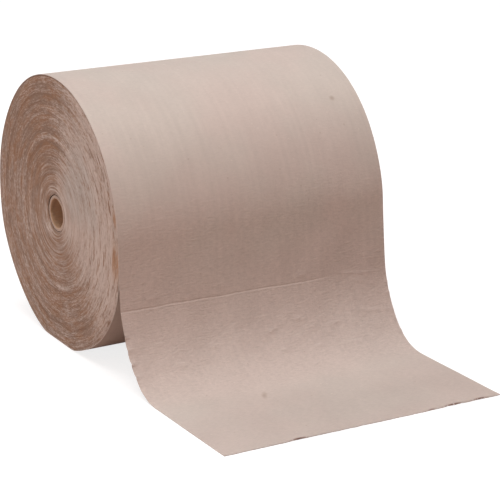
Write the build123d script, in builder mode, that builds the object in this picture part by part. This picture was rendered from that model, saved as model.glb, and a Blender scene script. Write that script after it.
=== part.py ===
from build123d import *

import os
from math import cos, radians, sin, sqrt, tan

# A roll of natural brown paper towel: one long web wound on a paperboard core, with its
# free end drawn off the front of the roll and lying on the table.
# Sizes are in millimetres. The origin is the middle of the core. +X runs along the core,
# the towel is drawn off towards -Y, and +Z is up.

# Driving dimensions of the wound roll
web_width = 203.0
roll_radius = 95.0
flat_depth = 2.6
paper_thickness = 0.3

# Driving dimensions of the core
core_bore_radius = 10.0
core_wall = 2.5
core_recess = 1.5
core_gap = 1.0
core_gap_depth = 5.0

# Driving dimensions of the turns that show on the end faces. One crest stands for a bundle of
# turns, because the paper is too thin to show each of them
turn_pitch = 5.2
first_turn_width = 1.0
last_turn_width = 1.5
crest_depth = 0.1
groove_depth = 0.9

# Driving dimensions of the free end. Its angles are measured from plumb
hang_angle = 11.5
crease_fold = 5.5
crease_height = 50.5
knee_angle = 45.0
foot_radius = 33.0
lie_length = 84.0
end_skew = 1.4

# Places that follow from the driving dimensions
core_radius = core_bore_radius + core_wall
core_length = web_width - 2 * core_recess
face_x = web_width / 2
table_height = flat_depth - roll_radius
flat_half_width = sqrt(roll_radius**2 - table_height**2)
trim = 1.0


def front(angle):
    """Unit vector out of the front of the free end, where the paper falls at this angle."""
    return Vector(-cos(radians(angle)), sin(radians(angle)))


def lower_crossing(centre_a, radius_a, centre_b, radius_b):
    """The lower of the two points where two circles cross."""
    across = centre_b - centre_a
    along = (across.length**2 + radius_a**2 - radius_b**2) / (2 * across.length)
    aside = sqrt(radius_a**2 - along**2)
    unit = across.normalized()
    middle = centre_a + unit * along
    square = Vector(-unit.Y, unit.X) * aside
    return min(middle + square, middle - square, key=lambda point: point.Y)


# The free end falls in three arcs, each bending it further from plumb: it hangs from the
# front of the roll to the crease, falls to the knee, and rounds out flat on the table
roll_centre = Vector(0, 0)
leave_point = Vector(-roll_radius, 0)
hang_radius = -(crease_height + table_height) / sin(radians(hang_angle))
hang_centre = leave_point + front(0) * hang_radius
crease_point = hang_centre - front(hang_angle) * hang_radius

fall_angle = hang_angle + crease_fold
foot_drop = foot_radius * (1 - sin(radians(knee_angle)))
fall_drop = crease_height - paper_thickness - foot_drop
fall_radius = fall_drop / (sin(radians(knee_angle)) - sin(radians(fall_angle)))
fall_centre = crease_point + front(fall_angle) * fall_radius
knee_point = fall_centre - front(knee_angle) * fall_radius
foot_centre = knee_point + front(knee_angle) * foot_radius
end_y = foot_centre.X - lie_length
uncut_y = end_y - face_x * tan(radians(end_skew)) - trim

# The back of the free end runs one paper thickness behind its front
hang_back_radius = hang_radius + paper_thickness
fall_back_radius = fall_radius + paper_thickness
foot_back_radius = foot_radius + paper_thickness
parting_point = lower_crossing(roll_centre, roll_radius, hang_centre, hang_back_radius)
crease_back = lower_crossing(
    hang_centre, hang_back_radius, fall_centre, fall_back_radius
)
knee_back = foot_centre - front(knee_angle) * foot_back_radius
foot_back = Vector(foot_centre.X, table_height)
foot_front = Vector(foot_centre.X, table_height + paper_thickness)

# The turns as they show on an end face. Over the top of the roll they run as half circles
# about the core. Under it they run as half circles about a point half a pitch behind the core,
# so that each one comes round to the start of the next, and all of them make one spiral
turns_inside = core_radius + core_gap + first_turn_width
turns_outside = roll_radius - last_turn_width
turn_count = int((turns_outside - turns_inside) / turn_pitch)
first_crest = turns_outside - turn_count * turn_pitch


def turns_profile(start, turns):
    """Points across this many turns from a start radius: radius, height over the end face."""
    points = [(start, trim), (start, -crest_depth)]
    for turn in range(turns):
        crest = start + turn * turn_pitch
        points.append((crest + turn_pitch / 2, -groove_depth))
        points.append((crest + turn_pitch, -crest_depth))
    points.append((start + turns * turn_pitch, trim))
    return points


# Everything that is missing outside the turns of the two end faces
turns_plane = Plane(origin=(face_x, 0, 0), x_dir=(0, 1, 0), z_dir=(0, 0, -1))
with BuildPart() as between_turns:
    with BuildSketch(turns_plane):
        Polygon(*turns_profile(first_crest, turn_count), align=None)
    revolve(axis=Axis((0, 0, 0), (1, 0, 0)), revolution_arc=180)
    with BuildSketch(turns_plane):
        Polygon(*turns_profile(first_crest + turn_pitch, turn_count - 1), align=None)
    revolve(axis=Axis((0, turn_pitch / 2, 0), (-1, 0, 0)), revolution_arc=180)
    mirror(about=Plane.YZ)

# The towel: the wound roll and its free end, which are one web of paper
with BuildPart() as towel_web:
    with BuildSketch(Plane.YZ):
        with BuildLine():
            ThreePointArc(
                leave_point, (0, roll_radius), (flat_half_width, table_height)
            )
            Line((flat_half_width, table_height), (-flat_half_width, table_height))
            RadiusArc((-flat_half_width, table_height), parting_point, roll_radius)
            RadiusArc(parting_point, crease_back, hang_back_radius)
            RadiusArc(crease_back, knee_back, fall_back_radius)
            RadiusArc(knee_back, foot_back, foot_back_radius)
            Line(foot_back, (uncut_y, foot_back.Y))
            Line((uncut_y, foot_back.Y), (uncut_y, foot_front.Y))
            Line((uncut_y, foot_front.Y), foot_front)
            RadiusArc(foot_front, knee_point, -foot_radius)
            RadiusArc(knee_point, crease_point, -fall_radius)
            RadiusArc(crease_point, leave_point, -hang_radius)
        make_face()
    extrude(amount=face_x, both=True)
    # The end of the web was torn a little out of square
    split(
        bisect_by=Plane(
            origin=(0, end_y, 0),
            x_dir=(1, -tan(radians(end_skew)), 0),
            z_dir=(tan(radians(end_skew)), 1, 0),
        )
    )
    # The core's seat, which the first turns leave open at both ends
    with Locations(Plane.YZ.offset(face_x), Plane.YZ.offset(-face_x).reverse()):
        CounterBoreHole(
            radius=core_radius,
            counter_bore_radius=core_radius + core_gap,
            counter_bore_depth=core_gap_depth,
        )
    add(between_turns.part, mode=Mode.SUBTRACT)
towel_web.part.label = "towel_web"

# The core: a paperboard tube, a little shorter than the web is wide
with BuildPart() as core:
    with BuildSketch(Plane.YZ):
        Circle(core_radius)
        Circle(core_bore_radius, mode=Mode.SUBTRACT)
    extrude(amount=core_length / 2, both=True)
core.part.label = "core"

os.makedirs("parts", exist_ok=True)
for piece in (towel_web.part, core.part):
    export_step(piece, f"parts/{piece.label}.step")
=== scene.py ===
from math import cos, radians, sin, tau

import bpy
import numpy as np
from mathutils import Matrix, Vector


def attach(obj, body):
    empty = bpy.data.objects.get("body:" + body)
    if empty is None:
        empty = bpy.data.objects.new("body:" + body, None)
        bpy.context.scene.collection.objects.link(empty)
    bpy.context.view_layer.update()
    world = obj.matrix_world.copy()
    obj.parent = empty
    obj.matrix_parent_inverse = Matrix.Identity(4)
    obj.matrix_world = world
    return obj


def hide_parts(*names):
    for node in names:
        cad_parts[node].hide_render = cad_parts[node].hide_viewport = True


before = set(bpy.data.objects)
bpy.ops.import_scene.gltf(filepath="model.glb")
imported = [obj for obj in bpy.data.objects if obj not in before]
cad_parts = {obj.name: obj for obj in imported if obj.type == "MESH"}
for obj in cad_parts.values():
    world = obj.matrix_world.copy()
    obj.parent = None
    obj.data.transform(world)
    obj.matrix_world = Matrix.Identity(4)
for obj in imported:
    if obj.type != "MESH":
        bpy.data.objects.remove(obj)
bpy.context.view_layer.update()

# A roll of natural brown paper towel on its side, with its free end hanging off the front and
# lying on the table. +X runs along the core, -Y is the front and +Z is up.
# Shapes are worked out in millimetres and made in metres.
MM = 0.001

# The roll and its core, as the CAD has them
WEB_WIDTH = 203.0
ROLL_RADIUS = 95.0
FLAT_DEPTH = 2.6
PAPER = 0.3
CORE_BORE = 10.0
CORE_OUTSIDE = 12.5
CORE_LENGTH = 200.0
CORE_GAP = 1.0
HALF = WEB_WIDTH / 2
TABLE = FLAT_DEPTH - ROLL_RADIUS

# Seeds of the random relief
WOUND_SEED, TOWEL_SEED, CORE_SEED = 1407, 2126, 88

# Angles about the core are in degrees: 0 is the back, 90 the top, 180 or -180 the front and
# -90 the table. The web is wound so that its radius grows from -180 to 180
FRONT = 180.0

# Where the soft roll swells or sinks, all over the web: angle, share of the radius, spread
SOFT_SPOTS = (
    (-19.0, 0.0165, 13.0),
    (38.0, -0.0085, 17.0),
    (-52.0, -0.004, 10.0),
    (-154.0, 0.011, 14.0),
    (-131.0, 0.011, 11.0),
)
# The front swells at the right-hand end only
RIGHT_SWELL = (176.0, 0.014, 15.0)
# Width of the rounded corner between the round and the flat spot
SOFT_CORNER = 1.6


def hill(away, spread):
    """Smooth hill of height 1, for a distance from its top."""
    return np.exp(-((away / spread) ** 2))


def hill_at(angle, centre, spread):
    """Smooth hill of height 1 about an angle, round the roll."""
    return hill((angle - centre + 180.0) % 360.0 - 180.0, spread)


def smoothstep(value, low, high):
    """0 up to one limit and 1 from the other, with a smooth way between them."""
    t = np.clip((value - low) / (high - low), 0.0, 1.0)
    return t * t * (3 - 2 * t)


def outline(angle, across):
    """Radius of the soft roll at an angle, across the web from 0 at the left to 1 at the right."""
    swell = sum(height * hill_at(angle, centre, spread) for centre, height, spread in SOFT_SPOTS)
    centre, height, spread = RIGHT_SWELL
    swell = swell + height * across * hill_at(angle, centre, spread)
    free = ROLL_RADIUS * (1.0 + swell)
    down = np.maximum(-np.sin(np.radians(angle)), 1e-6)
    rest = -TABLE / down
    blend = np.clip(0.5 + (rest - free) / SOFT_CORNER, 0.0, 1.0)
    return rest * (1 - blend) + free * blend - SOFT_CORNER / 2 * blend * (1 - blend)


def on_circle(radius, angle, x=0.0, rise=0.0):
    """Points about the core's axis, at a place along it, and raised by so much."""
    angle = np.radians(angle)
    parts = np.broadcast_arrays(x, radius * np.cos(angle), radius * np.sin(angle) + rise)
    return np.stack(parts, -1)


def add_mesh(name, points, faces, materials, face_materials=None):
    """A smooth-shaded mesh piece from points in millimetres."""
    mesh = bpy.data.meshes.new(name)
    mesh.from_pydata((np.asarray(points) * MM).tolist(), [], faces)
    mesh.polygons.foreach_set("use_smooth", np.ones(len(mesh.polygons), bool))
    for material in materials:
        mesh.materials.append(material)
    if face_materials is not None:
        mesh.polygons.foreach_set("material_index", np.asarray(face_materials, np.int32))
    mesh.update()
    piece = bpy.data.objects.new(name, mesh)
    bpy.context.scene.collection.objects.link(piece)
    return piece


def add_value(piece, name, values):
    """One number for each point of a mesh, for its material to read."""
    attribute = piece.data.attributes.new(name, "FLOAT", "POINT")
    attribute.data.foreach_set("value", np.asarray(values, np.float32))


def add_map(piece, name, coordinates):
    """A UV map from one pair of coordinates for each point."""
    layer = piece.data.uv_layers.new(name=name)
    corners = np.zeros(len(piece.data.loops), np.int32)
    piece.data.loops.foreach_get("vertex_index", corners)
    layer.data.foreach_set("uv", np.asarray(coordinates, np.float32)[corners].ravel())


# Materials


class Value:
    """A shader socket that arithmetic works on. Each operation adds a Math node."""

    def __init__(self, tree, socket):
        self.tree, self.socket = tree, socket

    def __add__(self, other):
        return self.tree.math("ADD", self, other)

    def __sub__(self, other):
        return self.tree.math("SUBTRACT", self, other)

    def __rsub__(self, other):
        return self.tree.math("SUBTRACT", other, self)

    def __mul__(self, other):
        return self.tree.math("MULTIPLY", self, other)

    def __truediv__(self, other):
        return self.tree.math("DIVIDE", self, other)

    def __rtruediv__(self, other):
        return self.tree.math("DIVIDE", other, self)

    __radd__ = __add__
    __rmul__ = __mul__


class Node:
    """A shader node whose outputs are read by name or place."""

    def __init__(self, tree, node):
        self.tree, self.node = tree, node

    def __getitem__(self, key):
        return Value(self.tree, self.node.outputs[key])


class Shader:
    """The node tree of one material or of the world."""

    def __init__(self, owner):
        owner.use_nodes = True
        self.nodes, self.links = owner.node_tree.nodes, owner.node_tree.links
        self.nodes.clear()

    def node(self, kind, settings=None, sockets=None):
        """A node of any kind. Its settings come first, then its sockets' values or links."""
        made = self.nodes.new(kind)
        for name, setting in (settings or {}).items():
            setattr(made, name, setting)
        for name, value in (sockets or {}).items():
            socket = made.inputs[name]
            if isinstance(value, Value):
                self.links.new(value.socket, socket)
            elif socket.type == "RGBA":
                socket.default_value = (*value, 1.0)
            else:
                socket.default_value = value
        return Node(self, made)

    def math(self, operation, *values):
        """One Math node's result."""
        return self.node("ShaderNodeMath", {"operation": operation}, dict(enumerate(values)))[0]

    def distance(self, first, second):
        """Distance from the origin, from two coordinates."""
        return self.math("POWER", first * first + second * second, 0.5)

    def ramp(self, value, low, high, from_value=0.0, to_value=1.0):
        """A value that goes smoothly from one number to another between two limits."""
        sockets = {"Value": value, "From Min": low, "From Max": high}
        sockets |= {"To Min": from_value, "To Max": to_value}
        return self.node("ShaderNodeMapRange", {"interpolation_type": "SMOOTHSTEP"}, sockets)[0]

    def mix(self, share, first, second, blend="MIX"):
        """Two colours mixed."""
        settings = {"data_type": "RGBA", "blend_type": blend}
        return self.node("ShaderNodeMix", settings, {0: share, 6: first, 7: second})[2]

    def toned(self, colour, tone):
        """A colour made paler or darker, by a tone about 1."""
        return self.mix(1.0, colour, self.vector(tone, tone, tone), "MULTIPLY")

    def vector(self, x, y, z):
        """Three numbers as a vector."""
        return self.node("ShaderNodeCombineXYZ", None, {"X": x, "Y": y, "Z": z})[0]

    def parts(self, vector):
        """A vector's three numbers."""
        split = self.node("ShaderNodeSeparateXYZ", None, {0: vector})
        return split[0], split[1], split[2]

    def attribute(self, name):
        """A number that the mesh holds for each point."""
        return self.node("ShaderNodeAttribute", {"attribute_name": name})["Fac"]

    def noise(self, vector, scale, detail=2.0, rough=0.5):
        """Noise from 0 to 1 about 0.5."""
        sockets = {"Vector": vector, "Scale": scale, "Detail": detail, "Roughness": rough}
        return self.node("ShaderNodeTexNoise", {"noise_dimensions": "3D"}, sockets)["Fac"]

    def stretched(self, x, y, z, detail=2.0, rough=0.5):
        """Noise stretched each way by scaled coordinates."""
        return self.noise(self.vector(x, y, z), 1.0, detail, rough)

    def cells(self, vector, scale):
        """Distance to the nearest of scattered points, and that point's own random colour."""
        sockets = {"Vector": vector, "Scale": scale}
        cells = self.node("ShaderNodeTexVoronoi", {"voronoi_dimensions": "3D"}, sockets)
        return cells["Distance"], cells["Color"]

    def bump(self, height, depth):
        """Relief of a depth in metres."""
        return self.node("ShaderNodeBump", None, {"Height": height, "Distance": depth})["Normal"]

    def finish(self, colour, roughness, normal, sheen=0.0):
        """The matte surface itself."""
        sockets = {"Base Color": colour, "Roughness": roughness, "Normal": normal}
        sockets |= {"Specular IOR Level": 0.25, "Sheen Weight": sheen}
        surface = self.node("ShaderNodeBsdfPrincipled", None, sockets)
        self.node("ShaderNodeOutputMaterial", None, {"Surface": surface[0]})


def new_material(name):
    """A material and its empty node tree."""
    material = bpy.data.materials.new(name)
    return material, Shader(material)


# Colours, as linear red, green and blue
PAPER_PINK = (0.613, 0.522, 0.474)
PAPER_GREY = (0.592, 0.536, 0.484)
FLECK_DARK = (0.30, 0.20, 0.14)
FLECK_PALE = (0.80, 0.72, 0.64)
EDGE_BROWN = (0.256, 0.175, 0.129)
EDGE_RUST = (0.287, 0.172, 0.108)
EDGE_PALE = (0.575, 0.500, 0.455)
SHEEN_GREY = (0.515, 0.492, 0.465)
EDGE_AMBER = (0.42, 0.265, 0.175)
TORN_SHADOW_BROWN = (0.20, 0.105, 0.075)
BOARD_BROWN = (0.56, 0.375, 0.235)
BOARD_GREY = (0.40, 0.31, 0.25)

# In metres, the radii between which the bore gives way to the rim, and the lengths along the core
# between which the bore grows darker, as painted shade
BOARD_RIM = (0.0102, 0.0107)
BORE_MOUTH_SHADE = (0.093, 0.0995)

# Places along the web are in metres from where the free end leaves the roll: the wound turn
# lies before 0, the paper hangs up to about 0.1, and lies on the table past that.
# Painted light and shade along the web, where it is a little paler or darker: place along the web,
# reach and share
PAINTED_LIGHT_AND_SHADE = (
    (-0.150, 0.028, -0.048),
    (-0.085, 0.030, 0.120),
    (0.074, 0.020, 0.035),
    (0.028, 0.016, -0.02),
    (0.165, 0.035, -0.065),
)
# Painted light toward the left where it hangs: how much paler it is, for each metre across
LEFT_PAINTED_LIGHT = 0.38
# The two spots on the paper that stand out: place along and across the web and half width in
# metres, how many times longer than wide, and the heading of their length from straight across
SPOTS = (
    (0.1308, 0.071, 0.0028, 3.0, -60.0),
    (-0.078, 0.1821, 0.0030, 1.0, 0.0),
)


def towel_paper_finish():
    """Creped unbleached paper: fibres, faint streaks along it, flecks and fine crepe ridges."""
    material, shader = new_material("creped_brown_paper")
    web = shader.node("ShaderNodeUVMap", {"uv_map": "web"})[0]
    along, across, _ = shader.parts(web)

    cloudy = shader.noise(web, 13.0, 3.0)
    patchy = shader.noise(web, 38.0)
    mottle = shader.noise(web, 280.0, 3.0, 0.6)
    grain = shader.noise(web, 800.0, 2.0, 0.6)
    streaks = shader.stretched(along * 9.0, across * 330.0, 0.0, 3.0)
    crepe = shader.stretched(along * 800.0, across * 260.0, 0.0, 2.0, 0.6)

    # Painted shade: it is pinker where it hangs in the shade
    shade_pink = shader.ramp(along, -0.01, 0.06) * shader.ramp(along, 0.10, 0.13, 0.85, 0.3)
    grey = shader.ramp(cloudy, 0.38, 0.62) * 0.7 + 0.3
    colour = shader.mix(grey * (1.0 - shade_pink), PAPER_PINK, PAPER_GREY)

    # The crepe is pressed flat where the paper is wound or lies, and full where it hangs
    full = shader.ramp(along, -0.035, 0.0, 0.45, 1.0) * shader.ramp(along, 0.10, 0.14, 1.0, 0.6)
    fine = (mottle - 0.5) * 0.16 + (grain - 0.5) * 0.15 + (crepe - 0.5) * 0.30
    tone = 1.0 + (patchy - 0.5) * 0.13 + fine * full
    # The streaks are fainter on top of the roll, and all but gone where the paper lies
    streaks = (streaks - 0.5) * shader.ramp(along, 0.08, 0.12, 0.12, 0.02)
    tone = tone + streaks * shader.ramp(along, -0.14, -0.06, 0.6, 1.0)
    # Painted light and shade along the web
    for middle, reach, share in PAINTED_LIGHT_AND_SHADE:
        away = (along - middle) / reach
        tone = tone + share / (1.0 + away * away)
    # Painted light: paler toward the left where it hangs
    hanging = shader.ramp(along, -0.11, -0.06) * shader.ramp(along, 0.10, 0.13, 1.0, 0.0)
    tone = tone + hanging * (HALF * MM - across) * LEFT_PAINTED_LIGHT
    colour = shader.toned(colour, tone)

    # Dark and pale flecks: a few of the cells have one at their point
    distance, own = shader.cells(web, 300.0)
    chance = shader.node("ShaderNodeSeparateColor", None, {0: own})
    fleck = shader.ramp(distance, 0.10, 0.26, 1.0, 0.0)
    dark = fleck * shader.ramp(chance[0], 0.975, 0.99) * 0.25
    pale = fleck * shader.ramp(chance[1], 0.93, 0.97) * 0.30
    colour = shader.mix(dark, colour, FLECK_DARK)
    colour = shader.mix(pale, colour, FLECK_PALE)
    for spot_along, spot_across, size, longer, heading in SPOTS:
        run, rise = cos(radians(heading)), sin(radians(heading))
        beside, before = across - spot_across, along - spot_along
        length, width = (beside * run + before * rise) / longer, before * run - beside * rise
        spot = shader.ramp(shader.distance(length, width), 0.0, size, 0.46, 0.0)
        colour = shader.mix(spot, colour, FLECK_DARK)

    # Painted shadow under the lifted, curled torn edge, and partly darker torn fibres
    tufts = shader.stretched(along * 500.0, across * 620.0, 0.0, 1.0)
    torn = shader.attribute("frayed_edge_shadow") * shader.ramp(tufts, 0.34, 0.46)
    colour = shader.mix(torn, colour, TORN_SHADOW_BROWN)

    relief = crepe + grain * 0.35 + mottle * 0.4
    shader.finish(colour, 0.88, shader.bump(relief * full, 0.00028), 0.08)
    return material


def wound_edge_finish():
    """The slit edges of the turns: broken streaks that run round the core."""
    material, shader = new_material("slit_paper_edges")
    _, y, z = shader.parts(shader.node("ShaderNodeTexCoord")["Object"])
    radius = shader.distance(y, z)
    side_y, side_z = y / radius, z / radius

    def round_the_core(turns, spacing, detail):
        """Noise in streaks: how many fit round the core, and how far apart they are in metres."""
        return shader.stretched(side_y * turns, side_z * turns, radius / spacing, detail)

    def short_streaks(length, width, detail):
        """Noise in streaks of one length round the core, in metres."""
        return shader.stretched(y / length, z / length, radius / width, detail, 0.55)

    def toward(angle, low, high):
        """1 on the side of the face at this angle, fading to 0 away from it."""
        share = side_y * cos(radians(angle)) + side_z * sin(radians(angle))
        return shader.ramp(share, low, high)

    patches = round_the_core(1.7, 0.022, 2.0)
    rings = round_the_core(1.1, 0.0012, 1.0)
    blotches = short_streaks(0.0115, 0.0045, 2.0)
    streaks = short_streaks(0.0042, 0.00090, 3.0)
    threads = short_streaks(0.0022, 0.00055, 1.0)
    dashes = short_streaks(0.0130, 0.00120, 1.0)
    rust = short_streaks(0.018, 0.0050, 2.0)
    turn = shader.attribute("turn_tone_and_shade")
    loose = shader.attribute("loosened")
    inner = shader.ramp(radius, 0.022, 0.055, 1.0, 0.0)
    # Painted sheen makes the face smoother and greyer above and before the core; it has dark
    # dashes by its rim
    smooth = shader.ramp(radius, 0.016, 0.03) * shader.ramp(radius, 0.055, 0.078, 1.0, 0.0)
    smooth = toward(148.0, 0.78, 1.0) * smooth
    dashed = toward(178.0, 0.35, 0.95) * shader.ramp(radius, 0.035, 0.06)

    # How rough the tone is: rings near the core, and short streaks further out
    rough = (rings - 0.5) * (0.50 + inner * 0.95) + turn * 0.28
    short = (streaks - 0.5) * 1.5 + (threads - 0.5) * 1.3 + (blotches - 0.5) * 0.6
    rough = rough + short * (1.0 - inner * 0.55)
    rough = rough * (1.0 - toward(-155.0, 0.5, 1.0) * 0.35)
    rough = rough + 0.10 * dashed - shader.ramp(dashes, 0.54, 0.66) * dashed * 0.55
    # Painted sheen and shade: the face is paler toward the front and darker at the top behind
    pale = 0.31 + toward(163.0, 0.18, 0.98) * 0.46 - toward(55.0, 0.5, 1.0) * 0.17
    pale = pale + (patches - 0.5) * 0.5 + rough * (1.0 - smooth * 0.3)
    pale = shader.ramp(pale, -0.12, 1.16)
    light = shader.mix(smooth * 0.8, EDGE_PALE, SHEEN_GREY)
    brown = shader.mix(shader.ramp(rust, 0.38, 0.64), EDGE_BROWN, EDGE_RUST)
    colour = shader.mix(pale, brown, light)
    colour = shader.mix(loose * shader.ramp(streaks, 0.25, 0.5), colour, EDGE_AMBER)
    relief = streaks * 0.5 + threads * 0.4 + rings * 0.6
    shader.finish(colour, 0.95, shader.bump(relief, 0.00035), 0.05)
    return material


def core_board_finish():
    """Bare grey-brown paperboard with short fibres and the lines of its wound plies."""
    material, shader = new_material("core_paperboard")
    place = shader.node("ShaderNodeTexCoord")["Object"]
    x, y, z = shader.parts(place)
    radius = shader.distance(y, z)
    fibres = shader.stretched(x * 160.0, y * 900.0, z * 900.0, 3.0, 0.6)
    blotches = shader.noise(place, 130.0)
    plies = shader.noise(shader.vector(0.0, 0.0, radius), 2600.0, 1.0)
    on_rim = shader.ramp(radius, *BOARD_RIM)
    inside = shader.mix(shader.ramp(fibres, 0.3, 0.7), BOARD_BROWN, BOARD_GREY)
    inside = shader.mix(0.75, inside, BOARD_BROWN)
    rim = shader.mix(shader.ramp(plies, 0.35, 0.65), BOARD_GREY, EDGE_PALE)
    rim = shader.mix(0.55, rim, BOARD_GREY)
    # Painted shade: the bore is a little darker just inside its two ends
    mouth = shader.ramp(shader.math("ABSOLUTE", x), *BORE_MOUTH_SHADE) * (1.0 - on_rim)
    tone = 1.08 - mouth * 0.24 + (fibres - 0.5) * 0.3 + (blotches - 0.5) * 0.2
    colour = shader.toned(shader.mix(on_rim, inside, rim), tone)
    shader.finish(colour, 0.85, shader.bump(fibres + plies * on_rim, 0.0002))
    return material


paper_finish = towel_paper_finish()
edge_finish = wound_edge_finish()
board_finish = core_board_finish()

# The wound turns. Each end face is a true spiral: rows of points run along it, crest and groove
# by turns, and the end of one row is the start of the next but one
AROUND = 240
ROW_PITCH = 0.55
FIRST_ROW = CORE_OUTSIDE + CORE_GAP + 0.35
LAST_ROW = ROLL_RADIUS - 2.2 * PAPER - 0.4
ROWS = int((LAST_ROW - FIRST_ROW) / ROW_PITCH) - 1
COLUMN_ANGLES = -FRONT + 360.0 * np.arange(AROUND + 1) / AROUND
GROOVE_DEPTH = 0.26
# What lies over them: the last turn and its lap, with a little play, in paper thicknesses
LAST_LAYERS = 2.15

# How ragged the turns are, and how their tone changes: length along the spiral and amount
RAGGED = ((9.0, 0.10), (30.0, 0.08))
RAGGED_MOST = 0.18
TONES = ((8.0, 0.6), (26.0, 0.5))

# Rings where a band of turns stands proud of the face or lies under it: radius, width, height
BANDS = (
    (15.6, 0.5, 0.3),
    (18.2, 0.7, 0.2),
    (48.6, 1.2, -0.3),
    (52.4, 1.4, 0.35),
    (57.0, 1.1, -0.25),
    (81.3, 1.3, -0.4),
    (91.3, 1.4, 0.15),
)
# Short lengths of single turns that stand proud or lie deep: angle, spread, radius, width and
# height
LIFTED = (
    (-57.0, 13.0, 14.9, 0.4, 0.8),
    (-52.0, 12.0, 17.0, 0.7, -0.6),
    (-47.0, 12.0, 19.2, 0.5, 0.8),
    (92.0, 36.0, 15.5, 0.4, 0.50),
    (26.0, 6.0, 24.7, 0.6, 0.5),
    (8.0, 5.0, 21.4, 0.5, 0.4),
    (178.0, 28.0, 15.6, 1.2, -0.35),
)
# Where the outer turns have worked loose, under and over the free end's start: angle, spread,
# and the radii between which it sets in
LOOSENED = ((-173.5, 6.5, 85.0, 87.5), (168.0, 2.6, 89.0, 91.5))
# Between the two the outer turns have sunk in, and are painted darker there as painted shade by
# the free end: the same, and how deep
SUNK_AND_SHADED = (177.0, 12.0, 85.5, 88.0)
SUNK_DEPTH = 0.7
# The rim is soft and rounded low at the front: angle, spread and depth, and the radii between
# which it falls back
SOFT_RIM = (-148.0, 24.0, 2.4)
RIM_FROM, RIM_TO = 85.0, 96.0

# The first turns slope in to the core, from this radius and by this much
SLOPE_FROM = 15.3
SLOPE_DEPTH = 1.2
# They lie a little higher than the core: how far, and the radius out to which turns show it
HOLE_RISE = 1.1
RISE_REACH = 27.0
# The mouth of the core's seat: how far in it lies, and how far outside the core
MOUTH_DEPTH = 1.05
MOUTH_PLAY = 0.25
# The turns close round the core at this depth. Behind it they stand open in a narrow gap:
# angle, spread, width and depth
SEAT_DEPTH = 1.7
SEAT_PLAY = 0.04
SEAT_GAP = (14.0, 42.0, 0.75, 2.6)
# How far in the rim lies, and the stretches of the round surface from rim to rim
RIM_DEPTH = 0.1
STRETCHES = 13


def squashed(radius, angle, across):
    """Radius of a turn in the soft roll: true near the core and like the outline at the rim."""
    share = outline(angle, across) / ROLL_RADIUS - 1.0
    return radius * (1.0 + share * smoothstep(radius, 0.25 * ROLL_RADIUS, 0.97 * ROLL_RADIUS))


def under_the_last_turn(angle, across):
    """Radius of the wound turns just under the last one."""
    return outline(angle, across) - LAST_LAYERS * PAPER


def rim_fall(angle, radius=ROLL_RADIUS):
    """How far the end face falls back at its rounded rim."""
    centre, spread, depth = SOFT_RIM
    return depth * hill_at(angle, centre, spread) * smoothstep(radius, RIM_FROM, RIM_TO) ** 1.5


def waves(rng, radius, angle, count, spacing, lobes):
    """Smooth random relief over an end face, with bands about this far apart."""
    total = np.zeros(np.broadcast(radius, angle).shape)
    for _ in range(count):
        pitch = tau / (spacing * rng.uniform(0.7, 2.5))
        turn = rng.integers(-lobes, lobes + 1) * np.radians(angle)
        total += np.sin(pitch * radius + turn + rng.uniform(0, tau))
    return total / np.sqrt(count)


def along_spiral(rng, radii, feature):
    """Random numbers from -1 to 1 that change smoothly along the spiral, over this length."""
    length = np.cumsum(radii) * tau / AROUND
    knots = rng.uniform(-1, 1, int(length[-1] / feature) + 3)
    return np.interp(length, np.arange(len(knots)) * feature, knots)


def spiral_lines(rng, radius):
    """How ragged each turn is and its tone, which run on from one turn to the next."""
    ragged = np.zeros(radius.shape)
    tone = np.zeros(radius.shape)
    # The crests are one line, through every other row, and the grooves are the other
    for first in (0, 1):
        line_rows = radius[first::2]
        run = np.append(line_rows[:, :-1].ravel(), line_rows[-1, -1])
        for out, amounts in ((ragged, RAGGED), (tone, TONES)):
            line = sum(amount * along_spiral(rng, run, feature) for feature, amount in amounts)
            for number in range(len(line_rows)):
                start = number * AROUND
                out[first + 2 * number] = line[start : start + AROUND + 1]
    return ragged, tone


def loose_at(angle):
    """Share to which the outer turns have worked loose at an angle."""
    return sum(hill_at(angle, centre, spread) for centre, spread, *_ in LOOSENED)


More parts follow.
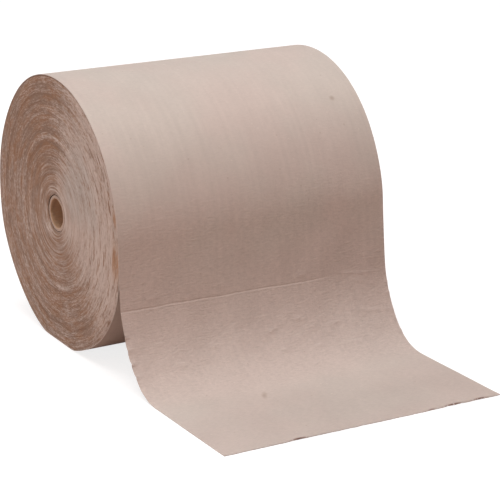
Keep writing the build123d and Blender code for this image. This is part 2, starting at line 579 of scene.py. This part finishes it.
def face_rows(side, rng):
    """Points of one end face's spiral, row by row, with their tone and how loose they are."""
    rows = np.arange(ROWS)[:, None]
    columns = np.arange(AROUND + 1)[None, :]
    angle = COLUMN_ANGLES[None, :]
    radius = FIRST_ROW + (rows + 2 * columns / AROUND) * ROW_PITCH
    ragged, tone = spiral_lines(rng, radius)
    groove = np.where(rows % 2 == 0, 0.0, -GROOVE_DEPTH)
    groove = groove * (0.75 + 0.25 * waves(rng, radius, angle, 12, 9.0, 5))
    bands = sum(height * hill(radius - centre, width) for centre, width, height in BANDS)
    bands = bands * (0.75 + 0.25 * np.sin(np.radians(angle) * 2 + side))
    slope = 1 - smoothstep(radius, CORE_OUTSIDE + 0.5, SLOPE_FROM)
    height = groove + ragged + bands + 0.12 * waves(rng, radius, angle, 26, 4.0, 7)
    height = height - SLOPE_DEPTH * slope
    # Painted light and shade in the tone: crests and proud bands are paler, grooves, deep bands
    # and the turns that slope in to the core darker
    tone = tone + np.where(rows % 2 == 0, 0.25, -0.25) + 3.0 * bands - 0.9 * slope

    loosened = 0.0
    for centre, spread, inside, outside in LOOSENED:
        loosened = loosened + hill_at(angle, centre, spread) * smoothstep(radius, inside, outside)
    height = height + loosened * (0.3 + 0.9 * ragged / RAGGED_MOST)
    centre, spread, inside, outside = SUNK_AND_SHADED
    sunk = hill_at(angle, centre, spread) * smoothstep(radius, inside, outside)
    height = height - SUNK_DEPTH * sunk
    # Painted shade where the turns have sunk in
    tone = tone * (1 - 0.6 * sunk) - 1.3 * sunk
    for centre, spread, at_radius, width, rise in LIFTED:
        lifted = hill_at(angle, centre, spread) * hill(radius - at_radius, width)
        height = height + rise * lifted
        tone = tone + 2.0 * lifted
    height = height - rim_fall(angle, radius)

    soft = squashed(radius, angle, (side + 1) / 2)
    risen = HOLE_RISE * (1 - smoothstep(radius, FIRST_ROW, RISE_REACH))
    return on_circle(soft, angle, side * (HALF + height), risen), tone, loosened


def wound_turns():
    """All that is wound under the last turn, with its spiral end faces and the core's seat."""
    rng = np.random.default_rng(WOUND_SEED)
    points, tones, looses, faces, kinds = [], [], [], [], []
    edges, paper = 0, 1

    def store(new_points, tone=0.0, loosened=0.0):
        """Keeps points with their tone and looseness, and gives their numbers."""
        start = sum(len(kept) for kept in points)
        points.append(np.reshape(new_points, (-1, 3)))
        for kept, values in ((tones, tone), (looses, loosened)):
            kept.append(np.ravel(values) if np.ndim(values) else np.full(len(points[-1]), values))
        return np.arange(start, start + len(points[-1]))

    def face(loop, outward, kind):
        faces.append([int(corner) for corner in (loop if outward else loop[::-1])])
        kinds.append(kind)

    def strip(first, second, outward, kind):
        """A band of faces between two rings of points."""
        for here in range(AROUND):
            there = (here + 1) % AROUND
            face([first[here], first[there], second[there], second[here]], outward, kind)

    angles = COLUMN_ANGLES[:-1]
    gap = hill_at(angles, *SEAT_GAP[:2])
    gap_width, gap_depth = SEAT_GAP[2:]
    rims, mouths = {}, {}
    for side in (-1, 1):
        inward = side < 0
        grid, tone, loosened = face_rows(side, rng)
        body = store(grid[:, :-1], tone[:, :-1], loosened[:, :-1]).reshape(ROWS, AROUND)
        ends = store(grid[-2:, -1], tone[-2:, -1], loosened[-2:, -1])

        def at(row, column):
            """A point of the spiral, which runs on from a row's end to the next row but one."""
            if column < AROUND:
                return body[row, column]
            return body[row + 2, 0] if row + 2 < ROWS else ends[row + 2 - ROWS]

        mouth_radius = CORE_OUTSIDE + MOUTH_PLAY + gap_width * gap
        # The mouth's points are painted darker: painted shade where the turns go in to the core
        mouth = store(on_circle(mouth_radius, angles, side * (HALF - MOUTH_DEPTH)), -0.3)
        rim_place = side * (HALF - RIM_DEPTH - rim_fall(angles))
        rim_radius = under_the_last_turn(angles, (side + 1) / 2)
        # Painted shade on the rim where the turns have sunk in
        rim_painted_shade = -1.3 * hill_at(angles, *SUNK_AND_SHADED[:2])
        rim = store(on_circle(rim_radius, angles, rim_place), rim_painted_shade, loose_at(angles))
        last = ROWS - 1
        for column in range(AROUND):
            after = column + 1
            for row in range(last):
                under = row + 1
                corners = [at(row, column), at(row, after), at(under, after), at(under, column)]
                face(corners, inward, edges)
            if after < AROUND:
                corners = [mouth[column], mouth[after], at(0, after), at(0, column)]
                face(corners, inward, edges)
            if column > 0:
                corners = [at(last, column), at(last, after), rim[after % AROUND], rim[column]]
                face(corners, inward, edges)
        # Where the spiral starts at the mouth and ends at the rim
        start = [mouth[-1], mouth[0], at(0, 0), at(1, 0), at(2, 0), at(0, AROUND - 1)]
        face(start, inward, edges)
        face([at(last, 0), at(last, 1), rim[1], rim[0], ends[1], ends[0]], inward, edges)
        rims[side], mouths[side] = rim, mouth

    # The round surface from rim to rim, and the seat of the core from mouth to mouth
    previous = rims[-1]
    for across in np.linspace(0, 1, STRETCHES + 1)[1:-1]:
        radius = under_the_last_turn(angles, across)
        current = store(on_circle(radius, angles, (2 * across - 1) * HALF))
        strip(previous, current, False, paper)
        previous = current
    strip(previous, rims[1], False, paper)
    previous = mouths[-1]
    seat_end = HALF - SEAT_DEPTH - gap_depth * gap
    for x in (-seat_end, seat_end):
        # The seat's points are painted paler: painted light down in the gap round the core
        current = store(on_circle(CORE_OUTSIDE + SEAT_PLAY, angles, x), 0.3)
        strip(previous, current, True, edges)
        previous = current
    strip(previous, mouths[1], True, edges)

    points = np.concatenate(points)
    piece = add_mesh("wound_turns", points, faces, [edge_finish, paper_finish], kinds)
    add_value(piece, "turn_tone_and_shade", np.concatenate(tones))
    add_value(piece, "loosened", np.concatenate(looses))
    angle = np.arctan2(points[:, 2], points[:, 1])
    add_map(piece, "web", np.stack([angle * ROLL_RADIUS, points[:, 0] + HALF], -1) * MM)
    return piece


# The last turn and the free end, which are one sheet. Its columns of points run along the web
# and its rows across it
COLUMNS = 126
TURN_ROWS = 150
# How far the sheet laps under its own last turn, in degrees
LAP = 8.0
# How the free end falls at the left and the right edge: the height over the axis at which it
# leaves the roll, and then each stretch's length and its angles from plumb at start and end
FALL_LEFT = (0.7, (42.6, 0.6, 6.1), (43.1, 8.6, 43.2), (31.4, 43.2, 90.0))
FALL_RIGHT = (3.9, (44.5, 4.0, 7.6), (44.2, 8.6, 42.4), (31.7, 42.4, 90.0))
FALL_STEP = 0.25
END_LEFT = -228.4
END_RIGHT = -233.3
# How far the edges have drifted to the right at the torn end
DRIFT_LEFT = 1.8
DRIFT_RIGHT = 0.7

# The last turn's edges follow the rounded rims: play beside them, and reach as a share of the
# web's width
RIM_PLAY = 0.05
PULL_REACH = 0.012
# Lengths along the free end between which it comes free of the roll, and between which it
# comes down to lie on the table
FREE = (5.0, 30.0)
LYING = (95.0, 125.0)

# How far down the crease is at each edge. Under a thin groove the paper kicks out there, and
# comes back to its fall lower down. Groove and ridge: place under the crease, width and height
CREASE_LEFT = 42.9
CREASE_RIGHT = 47.9
CREASE_KICK = 0.55
CREASE_LINES = ((0.3, 0.5, 0.10), (-0.75, 0.55, -0.19))
# It fades out between these places across the web
CREASE_FADE = (138.0, 168.0, 0.95)

# Small wrinkles in the free end: place across and along it, half length, heading from straight
# across, height and width
WRINKLES = (
    (23.7, 37.0, 4.0, -8.0, 0.35, 1.2),
    (74.5, 37.0, 4.0, 10.0, 0.30, 1.2),
    (135.0, 40.5, 5.0, -14.0, 0.35, 1.3),
    (0.0, 58.5, 2.6, 14.0, 1.10, 1.0),
    (0.0, 68.0, 2.2, -10.0, 1.20, 1.0),
    (0.0, 76.5, 3.0, 8.0, 1.30, 1.0),
    (0.5, 86.0, 2.4, -8.0, 1.10, 1.0),
    (23.3, 68.0, 2.6, 8.0, 0.45, 1.0),
    (34.0, 84.0, 3.6, 14.0, 0.40, 1.1),
    (59.9, 76.0, 1.8, 0.0, 0.50, 1.1),
    (88.0, 90.0, 3.6, 14.0, 0.40, 1.1),
    (105.1, 74.0, 1.8, -12.0, 0.80, 1.0),
    (109.5, 73.0, 1.6, 10.0, 0.60, 1.0),
    (110.6, 89.1, 3.0, 6.0, 0.50, 1.0),
    (127.5, 69.5, 2.4, 14.0, 0.80, 1.0),
    (131.5, 71.0, 1.6, -6.0, 0.50, 1.0),
    (127.9, 104.5, 3.0, -10.0, 0.45, 1.1),
    (136.5, 91.2, 2.6, -18.0, 0.80, 1.1),
    (153.8, 77.7, 4.0, -8.0, 0.55, 1.0),
    (164.9, 93.7, 3.4, 12.0, 0.55, 1.0),
    (180.0, 47.0, 14.0, 7.0, 0.20, 0.9),
    (179.7, 52.5, 4.0, 16.0, 0.40, 1.0),
    (188.0, 74.6, 15.0, 8.0, 0.34, 1.0),
    (203.0, 57.0, 3.0, -8.0, 0.50, 1.0),
    (203.0, 64.8, 3.4, 8.0, 0.50, 1.0),
    (203.0, 93.0, 4.0, 8.0, 0.50, 1.1),
)
# How much a wrinkle bends away from its line
WRINKLE_BEND = 0.003
# Where the torn edge has lifted and curled: place across, spread, height
CURLS = ((52.0, 6.5, 0.85), (149.5, 4.0, 0.6), (166.0, 8.5, 0.85), (187.0, 7.5, 0.8))


def fall(across):
    """The free end's line for one place across the web: the angle at which it leaves the roll,
    and then lengths from there, y and z."""
    leave_height = FALL_LEFT[0] + (FALL_RIGHT[0] - FALL_LEFT[0]) * across
    leave_angle = FRONT - np.degrees(np.arcsin(leave_height / ROLL_RADIUS))
    _, y, z = on_circle(outline(leave_angle, across), leave_angle)
    angles, lengths = [], []
    for left, right in zip(FALL_LEFT[1:], FALL_RIGHT[1:]):
        length, start, end = np.add(np.multiply(left, 1 - across), np.multiply(right, across))
        steps = int(round(length / FALL_STEP))
        middle = (np.arange(steps) + 0.5) / steps
        angles.append(np.radians(start + (end - start) * middle))
        lengths.append(np.full(steps, length / steps))
    angles, lengths = np.concatenate(angles), np.concatenate(lengths)
    # Made a little longer or shorter, so that it comes down just onto the table
    lengths *= (z - (TABLE + 0.5 * PAPER)) / np.sum(lengths * np.cos(angles))
    line_y = y - np.concatenate([[0.0], np.cumsum(lengths * np.sin(angles))])
    line_z = z - np.concatenate([[0.0], np.cumsum(lengths * np.cos(angles))])
    along = np.concatenate([[0.0], np.cumsum(lengths)])
    # And then straight out to the torn end
    end_y = END_LEFT + (END_RIGHT - END_LEFT) * across
    along = np.append(along, along[-1] + (line_y[-1] - end_y))
    return leave_angle, along, np.append(line_y, end_y), np.append(line_z, line_z[-1])


def row_places(crease, foot, end):
    """Lengths along the free end at which there is a row of points, close together at the crease
    and at the torn edge."""
    stretches = (
        (crease - 2.4, 25),
        (crease + 2.4, 18),
        (foot, 55),
        (end - 5.0, 43),
        (end - 1.2, 5),
        (end, 4),
    )
    places, start = [], 0.0
    for stop, rows in stretches:
        places.append(np.linspace(start, stop, rows + 1)[1:])
        start = stop
    return np.concatenate(places)


def sheet_middle():
    """The middle of the paper, row by row, and each point's length along the free end."""
    middle, lengths = [], []
    for share in np.linspace(0, 1, COLUMNS + 1):
        leave_angle, along, line_y, line_z = fall(share)
        angle = np.linspace(-FRONT - LAP, leave_angle, TURN_ROWS + 1)
        wound = (angle - angle[0]) / (angle[-1] - angle[0])
        radius = outline(angle, share) - PAPER * (1.5 - wound)
        # The sheet leaves the roll on the line that it falls along
        radius += wound**40 * 0.5 * PAPER
        turn = on_circle(radius, angle)
        crease = CREASE_LEFT + (CREASE_RIGHT - CREASE_LEFT) * share
        places = row_places(crease, along[-2], along[-1])
        line = [np.interp(places, along, line_y), np.interp(places, along, line_z)]
        column = np.concatenate([turn, np.stack([places * 0, *line], -1)])
        # The turn follows the rounded rims
        pulled = np.zeros(len(column))
        pulled[: len(turn)] = np.maximum(rim_fall(angle) - RIM_PLAY, 0.0) * (angle < 0)
        pulled *= np.exp(-share / PULL_REACH) - np.exp(-(1 - share) / PULL_REACH)
        gone = np.clip((column[:, 1] + ROLL_RADIUS) / (END_LEFT + ROLL_RADIUS), 0, 1)
        gone[: len(turn)] = 0.0
        drift = DRIFT_LEFT + (DRIFT_RIGHT - DRIFT_LEFT) * share
        column[:, 0] = (2 * share - 1) * HALF + pulled + gone * drift
        middle.append(column)
        lengths.append(np.append(np.radians(angle - leave_angle) * ROLL_RADIUS, places))
    return np.array(middle).transpose(1, 0, 2), np.array(lengths).T


def sheet_normals(middle):
    """Directions out of the front of the sheet."""
    normal = np.cross(np.gradient(middle, axis=0), np.gradient(middle, axis=1))
    return normal / np.linalg.norm(normal, axis=-1, keepdims=True)


def ripples(rng, along, across, count, length, bend):
    """Smooth random waves over the sheet, for points given in millimetres."""
    total = np.zeros(along.shape)
    for _ in range(count):
        size = length * rng.uniform(0.7, 1.8)
        heading = rng.uniform(-bend, bend)
        phase = rng.uniform(0, tau)
        total += np.sin(tau / size * (along * np.sin(heading) + across * np.cos(heading)) + phase)
    return total / np.sqrt(count)


def soft_relief(rng, lengths, across):
    """Unevenness and wrinkles of the free end, which the turns under it keep flat on the roll."""
    hanging = smoothstep(lengths, *FREE) * (1 - smoothstep(lengths, *LYING))
    relief = hanging * 0.22 * ripples(rng, lengths, across, 14, 45.0, 0.9)
    # Smaller ripples at the foot
    foot = hill(lengths - 78.0, 22.0)
    relief += foot * 0.10 * ripples(rng, lengths, across, 22, 11.0, 1.4)
    # The left edge is crinkled where it rounds out
    edge = np.exp(-across / 5.0)
    edge = edge * smoothstep(lengths, 48.0, 60.0) * (1 - smoothstep(lengths, 100.0, 118.0))
    relief += edge * 0.35 * ripples(rng, lengths, across, 6, 8.0, 1.5)
    for place, length, reach, heading, height, width in WRINKLES:
        run, rise = cos(radians(heading)), sin(radians(heading))
        run_on = (across - place) * run + (lengths - length) * rise
        aside = (lengths - length) * run - (across - place) * rise
        aside = aside + WRINKLE_BEND * run_on**2 / width
        relief += height * hill(run_on, reach) * hill(aside, width)
    return relief


def crease_relief(lengths, across):
    """The crease, which isn't quite straight."""
    crease = CREASE_LEFT + (CREASE_RIGHT - CREASE_LEFT) * across / WEB_WIDTH
    crease = crease + 0.20 * np.sin(across / 9.0) + 0.12 * np.sin(across / 3.7 + 1.0)
    below = lengths - crease
    kick = CREASE_KICK * (1 - np.exp(-np.maximum(below, 0.0) / 6.0))
    kick = kick * (1 - smoothstep(below, 8.0, 36.0))
    lines = sum(height * hill(below - place, width) for place, width, height in CREASE_LINES)
    start, end, share = CREASE_FADE
    return (1 - share * smoothstep(across, start, end)) * (kick + lines)


def loose_towel():
    """The last turn and the free end as one sheet of paper with its own thickness."""
    rng = np.random.default_rng(TOWEL_SEED)
    middle, lengths = sheet_middle()
    rows, columns = lengths.shape
    across = np.broadcast_to(np.linspace(0, WEB_WIDTH, columns), lengths.shape)
    relief = soft_relief(rng, lengths, across) + crease_relief(lengths, across)
    middle += sheet_normals(middle) * relief[..., None]

    # Where the end lies it can only lift off the table
    lying = smoothstep(lengths, *LYING)
    lift = lying * 0.10 * (1 + ripples(rng, lengths, across, 10, 60.0, 1.2))
    curled = 0.1 + sum(height * hill(across - place, spread) for place, spread, height in CURLS)
    past = lengths - lengths.max(axis=0)
    torn = smoothstep(past, -9.0, -1.0) - 0.85 * smoothstep(past, -1.1, 0.0)
    middle[..., 2] += np.maximum(lift, 0) + torn * curled
    # Painted shadow under the curls of the torn edge, and partly darker torn fibres
    frayed_edge_shadow = np.clip(1.6 * curled - 0.5, 0, 1) * smoothstep(past, -1.1, -0.5)
    # Along the rest of the tear only its very edge is darker, as a painted shadow line
    frayed_edge_shadow = np.maximum(frayed_edge_shadow, 0.4 * smoothstep(past, -0.4, 0.0))
    # The tear is straight, with a little roughness
    rough = np.convolve(rng.normal(0, 1, columns + 8), np.ones(3) / 3, "same")[4:-4]
    middle[-1, :, 1] += 0.18 * rough

    # The front of the paper, its back, and its cut edges all round
    normal = sheet_normals(middle)
    points = np.concatenate([middle + normal * PAPER / 2, middle - normal * PAPER / 2])
    points = points.reshape(-1, 3)
    to_back = rows * columns
    index = np.arange(to_back).reshape(rows, columns)
    quads = [index[:-1, :-1], index[1:, :-1], index[1:, 1:], index[:-1, 1:]]
    quads = np.stack(quads, -1).reshape(-1, 4)
    faces = quads.tolist() + (quads[:, ::-1] + to_back).tolist()
    border = [index[0, :-1], index[:-1, -1], index[-1, :0:-1], index[:0:-1, 0]]
    border = np.concatenate(border)
    for here, there in zip(border, np.roll(border, -1)):
        corners = (here, there, there + to_back, here + to_back)
        faces.append([int(corner) for corner in corners])
    piece = add_mesh("loose_towel", points, faces, [paper_finish])

    # The cut edges are square
    ends = np.zeros(2 * len(piece.data.edges), np.int32)
    piece.data.edges.foreach_get("vertices", ends)
    on_border = np.zeros(len(points), bool)
    on_border[np.concatenate([border, border + to_back])] = True
    sharp = piece.data.attributes.new("sharp_edge", "BOOLEAN", "EDGE")
    sharp.data.foreach_set("value", on_border[ends.reshape(-1, 2)].all(axis=1))

    web = np.stack([lengths.ravel(), across.ravel()], -1) * MM
    add_map(piece, "web", np.concatenate([web, web]))
    add_value(piece, "frayed_edge_shadow", np.concatenate([frayed_edge_shadow.ravel(), frayed_edge_shadow.ravel()]))
    return piece, float(lengths.max() - lengths.min()) * MM


# The core isn't quite in the middle of the web
CORE_SHIFT = 0.6
CORE_AROUND = 96
CORE_SPANS = 119
# The core's worn rim: how far back from the end, and how far out from the bore
CORE_RIM = (
    (0.4, 0.0),
    (0.12, 0.12),
    (0.0, 0.45),
    (0.05, 0.8),
    (0.0, 1.2),
    (0.06, 1.6),
    (0.0, 2.0),
    (0.1, 2.35),
    (0.4, CORE_OUTSIDE - CORE_BORE),
)
# The seam of the inner ply runs round the bore as a narrow open joint
SEAM_PITCH = 66.0
SEAM_WIDTH = 0.9
SEAM_DEPTH = 0.22
# How rough the rims are, and how far in
RIM_ROUGH = 0.05
RIM_ROUGH_REACH = 0.35


def core_tube():
    """The spiral-wound paperboard tube, with the seam of its inner ply and rough rims."""
    rng = np.random.default_rng(CORE_SEED)
    end = CORE_LENGTH / 2
    bore_end = end - CORE_RIM[0][0]
    bore = [(x, CORE_BORE) for x in np.linspace(-bore_end, bore_end, CORE_SPANS + 1)]
    right = [(end - back, CORE_BORE + out) for back, out in CORE_RIM]
    left = [(-x, radius) for x, radius in reversed(right)]
    profile = bore[1:-1] + right + left
    angle = np.linspace(0, 360, CORE_AROUND, endpoint=False)
    points = []
    for x, radius in profile:
        rough = RIM_ROUGH * rng.normal(0, 1, CORE_AROUND) * (abs(x) > end - RIM_ROUGH_REACH)
        if radius == CORE_BORE:
            turns = (x / SEAM_PITCH - angle / 360) % 1.0
            radius = radius + SEAM_DEPTH * hill((turns - 0.5) * SEAM_PITCH, SEAM_WIDTH)
        points.append(on_circle(radius, angle, x - CORE_SHIFT + rough))
    faces = []
    for row in range(len(profile)):
        start, below = row * CORE_AROUND, (row + 1) % len(profile) * CORE_AROUND
        for here in range(CORE_AROUND):
            there = (here + 1) % CORE_AROUND
            faces.append([start + here, start + there, below + there, below + here])
    return add_mesh("core_tube", np.concatenate(points), faces, [board_finish])


turns = wound_turns()
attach(turns, "root")
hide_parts("towel_web")

towel, towel_length = loose_towel()
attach(towel, "root")
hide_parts("towel_web")

core = core_tube()
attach(core, "root")
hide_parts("core")

# The table, the light and the camera, in metres. The camera sees the table white, and the roll
# has a warmer matte one under it
TABLE_REACH = 4.0
TABLE_TINT = (0.60, 0.45, 0.39)
TABLE_WHITE = (0.34, 0.34, 0.34)
TABLE_GLOW = 0.80
SKY_LIGHT = (0.115, 0.056, 0.047)
WHITE = (1.0, 1.0, 1.0)

# Square lamps that point at the core: place, size, power and colour
LAMPS = {
    "front_box": ((-0.7, -1.05, 2.1), 1.5, 12.6, (1.0, 0.84, 0.77)),
    "overhead_box": ((0.0, -0.2, 2.4), 1.5, 41.6, (0.96, 0.99, 1.0)),
    "left_box": ((-2.35, -0.35, 0.24), 0.6, 16.4, (1.0, 0.96, 0.93)),
    "right_box": ((2.35, 0.1, 0.24), 0.6, 14.5, (1.0, 0.98, 0.96)),
    "back_box": ((-0.5, 1.6, 0.95), 1.2, 10.0, WHITE),
}

# The camera's place, its turns in degrees and its focal length
EYE_PLACE = (-0.6005, -1.1095, 0.3566)
EYE_TURNS = (72.46, -0.38, -30.06)
FOCAL_LENGTH = 133.56


def table():
    """A white table top that doesn't throw much light back."""
    material, shader = new_material("white_table")
    seen = shader.node("ShaderNodeLightPath")["Is Camera Ray"]
    matte = shader.node("ShaderNodeBsdfDiffuse", None, {"Color": TABLE_TINT})[0]
    white = shader.node("ShaderNodeBsdfDiffuse", None, {"Color": TABLE_WHITE})[0]
    glow = shader.node("ShaderNodeEmission", None, {"Color": WHITE, "Strength": TABLE_GLOW})[0]
    bright = shader.node("ShaderNodeAddShader", None, {0: white, 1: glow})[0]
    top = shader.node("ShaderNodeMixShader", None, {0: seen, 1: matte, 2: bright})[0]
    shader.node("ShaderNodeOutputMaterial", None, {"Surface": top})
    size = TABLE_REACH / MM
    corners = [(-size, -size), (size, -size), (size, size), (-size, size)]
    points = [(x, y, TABLE) for x, y in corners]
    add_mesh("table_top", points, [(0, 1, 2, 3)], [material])


def sky():
    """Even light from above, with a white background."""
    world = bpy.data.worlds.new("soft_studio")
    bpy.context.scene.world = world
    shader = Shader(world)
    seen = shader.node("ShaderNodeLightPath")["Is Camera Ray"]
    light = shader.mix(seen, SKY_LIGHT, WHITE)
    background = shader.node("ShaderNodeBackground", None, {"Color": light, "Strength": 1.0})[0]
    shader.node("ShaderNodeOutputWorld", None, {"Surface": background})


def soft_box(name, place, size, power, colour):
    """A square lamp that points at the middle of the core."""
    data = bpy.data.lights.new(name, "AREA")
    data.shape, data.size, data.energy, data.color = "SQUARE", size, power, colour
    lamp = bpy.data.objects.new(name, data)
    bpy.context.scene.collection.objects.link(lamp)
    lamp.location = place
    toward_core = Vector((0, 0, 0)) - Vector(place)
    lamp.rotation_euler = toward_core.to_track_quat("-Z", "Y").to_euler()


def camera():
    """The camera from which the photo was taken."""
    data = bpy.data.cameras.new("camera")
    data.sensor_width, data.lens = 36.0, FOCAL_LENGTH
    data.clip_start, data.clip_end = 0.05, 50.0
    eye = bpy.data.objects.new("camera", data)
    bpy.context.scene.collection.objects.link(eye)
    eye.location = EYE_PLACE
    eye.rotation_mode = "YXZ"
    eye.rotation_euler = [radians(turn) for turn in EYE_TURNS]
    bpy.context.scene.camera = eye


table()
sky()
for name, settings in LAMPS.items():
    soft_box(name, *settings)
camera()
bpy.context.scene.view_settings.view_transform = "Standard"
